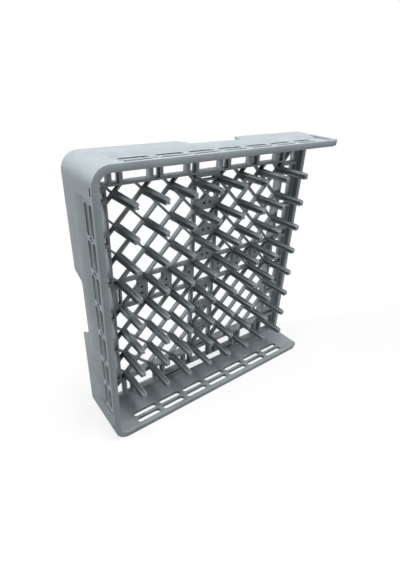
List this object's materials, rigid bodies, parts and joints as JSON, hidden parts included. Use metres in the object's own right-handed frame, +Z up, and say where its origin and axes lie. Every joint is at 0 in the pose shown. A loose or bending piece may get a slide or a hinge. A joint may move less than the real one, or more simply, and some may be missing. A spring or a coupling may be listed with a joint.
{
  "type": "dishwasher tray rack",
  "caption": "Square moulded dishwasher rack with an open lattice base, rows of X-section pegs, three slotted walls and one open end, for holding trays and plates upright.",
  "frame": {"origin": "middle of the outer face of the side wall that the rack stands on, at the height of that face", "axes": "+X from the closed end to the open end, +Y from the rim to the underside of the base, +Z up; the rack stands on one side wall, as pictured, and lies with +Y down in use"},
  "size_m": [0.5, 0.108, 0.5],
  "materials": {
    "rack_plastic": "injection-moulded polypropylene, fine satin grain, slightly blue-green grey"
  },
  "bodies": {
    "root": {"rack": "rack_plastic"}
  },
  "joints": []
}
